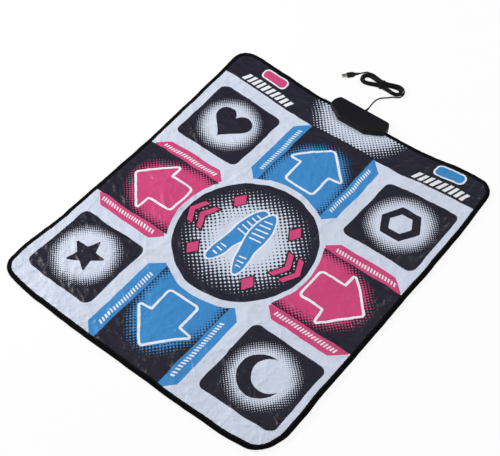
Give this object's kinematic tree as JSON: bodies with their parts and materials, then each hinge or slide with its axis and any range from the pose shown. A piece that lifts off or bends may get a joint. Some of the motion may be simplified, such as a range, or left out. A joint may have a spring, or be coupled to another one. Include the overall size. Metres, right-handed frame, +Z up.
{
  "type": "dance mat controller",
  "caption": "Soft rectangular floor mat with printed pressure pads round a centre disc, a bound edge, a control box on the back edge and a tied USB lead.",
  "frame": {"origin": "on the floor, under the middle of the mat and its control box together", "axes": "+X to the player's right, +Y towards the control box on the back edge, +Z up"},
  "size_m": [0.8, 1.0932, 0.022],
  "materials": {
    "pale_vinyl": "satin",
    "charcoal_vinyl": "satin",
    "pink_vinyl": "satin",
    "blue_vinyl": "satin",
    "binding_tape": "matte",
    "backing": "matte",
    "clear_film": "gloss",
    "carbon_ink": "matte",
    "white_foam": "matte",
    "grey_foam": "matte",
    "black_abs": "satin",
    "board_green": "satin",
    "black_epoxy": "gloss",
    "steel": "satin",
    "black_pvc": "satin",
    "nickel": "satin",
    "white_nylon": "satin"
  },
  "bodies": {
    "mat": {"bottom_sheet": "backing", "lower_film": "clear_film", "spacer_foam": "white_foam", "upper_film": "clear_film", "cushion_foam": "grey_foam", "top_cover": "pale_vinyl", "edge_binding": "binding_tape", "arrow_up_lower_contact": "carbon_ink", "arrow_left_lower_contact": "carbon_ink", "arrow_down_lower_contact": "carbon_ink", "arrow_right_lower_contact": "carbon_ink", "corner_back_left_lower_contact": "carbon_ink", "corner_back_right_lower_contact": "carbon_ink", "corner_front_left_lower_contact": "carbon_ink", "corner_front_right_lower_contact": "carbon_ink", "menu_left_lower_contact": "carbon_ink", "menu_right_lower_contact": "carbon_ink", "box_base": "black_abs", "box_lid": "black_abs", "box_screw_front_left": "steel", "box_screw_front_right": "steel", "box_screw_rear_left": "steel", "box_screw_rear_right": "steel", "circuit_board": "board_green", "clamp_bar": "white_nylon", "clamp_screw_left": "steel", "clamp_screw_right": "steel", "chip_blob": "black_epoxy", "crystal": "steel", "capacitor": "black_epoxy", "strain_relief": "black_pvc", "inner_lead": "black_pvc", "cord": "black_pvc", "cord_hank": "black_pvc", "cord_lead": "black_pvc", "cord_tie": "black_pvc", "plug_body": "black_pvc", "plug_shell": "nickel", "plug_tongue": "white_nylon"},
    "arrow_up_zone": {"arrow_up_pad": "blue_vinyl", "arrow_up_upper_contact": "carbon_ink"},
    "arrow_left_zone": {"arrow_left_pad": "pink_vinyl", "arrow_left_upper_contact": "carbon_ink"},
    "arrow_down_zone": {"arrow_down_pad": "blue_vinyl", "arrow_down_upper_contact": "carbon_ink"},
    "arrow_right_zone": {"arrow_right_pad": "pink_vinyl", "arrow_right_upper_contact": "carbon_ink"},
    "corner_back_left_zone": {"corner_back_left_pad": "charcoal_vinyl", "corner_back_left_upper_contact": "carbon_ink"},
    "corner_back_right_zone": {"corner_back_right_pad": "charcoal_vinyl", "corner_back_right_upper_contact": "carbon_ink"},
    "corner_front_left_zone": {"corner_front_left_pad": "charcoal_vinyl", "corner_front_left_upper_contact": "carbon_ink"},
    "corner_front_right_zone": {"corner_front_right_pad": "charcoal_vinyl", "corner_front_right_upper_contact": "carbon_ink"},
    "menu_left_zone": {"menu_left_pad": "pink_vinyl", "menu_left_upper_contact": "carbon_ink"},
    "menu_right_zone": {"menu_right_pad": "blue_vinyl", "menu_right_upper_contact": "carbon_ink"}
  },
  "joints": [
    {"name": "arrow_up_press", "type": "slide", "parent": "mat", "child": "arrow_up_zone", "axis": [0, 0, -1], "range_m": [0, 0.0014], "stiffness_N_per_m": 7000, "springref_m": -0.0008},
    {"name": "arrow_left_press", "type": "slide", "parent": "mat", "child": "arrow_left_zone", "axis": [0, 0, -1], "range_m": [0, 0.0014], "stiffness_N_per_m": 7000, "springref_m": -0.0008},
    {"name": "arrow_down_press", "type": "slide", "parent": "mat", "child": "arrow_down_zone", "axis": [0, 0, -1], "range_m": [0, 0.0014], "stiffness_N_per_m": 7000, "springref_m": -0.0008},
    {"name": "arrow_right_press", "type": "slide", "parent": "mat", "child": "arrow_right_zone", "axis": [0, 0, -1], "range_m": [0, 0.0014], "stiffness_N_per_m": 7000, "springref_m": -0.0008},
    {"name": "corner_back_left_press", "type": "slide", "parent": "mat", "child": "corner_back_left_zone", "axis": [0, 0, -1], "range_m": [0, 0.0014], "stiffness_N_per_m": 7000, "springref_m": -0.0008},
    {"name": "corner_back_right_press", "type": "slide", "parent": "mat", "child": "corner_back_right_zone", "axis": [0, 0, -1], "range_m": [0, 0.0014], "stiffness_N_per_m": 7000, "springref_m": -0.0008},
    {"name": "corner_front_left_press", "type": "slide", "parent": "mat", "child": "corner_front_left_zone", "axis": [0, 0, -1], "range_m": [0, 0.0014], "stiffness_N_per_m": 7000, "springref_m": -0.0008},
    {"name": "corner_front_right_press", "type": "slide", "parent": "mat", "child": "corner_front_right_zone", "axis": [0, 0, -1], "range_m": [0, 0.0014], "stiffness_N_per_m": 7000, "springref_m": -0.0008},
    {"name": "menu_left_press", "type": "slide", "parent": "mat", "child": "menu_left_zone", "axis": [0, 0, -1], "range_m": [0, 0.0014], "stiffness_N_per_m": 3000, "springref_m": -0.0008},
    {"name": "menu_right_press", "type": "slide", "parent": "mat", "child": "menu_right_zone", "axis": [0, 0, -1], "range_m": [0, 0.0014], "stiffness_N_per_m": 3000, "springref_m": -0.0008}
  ]
}
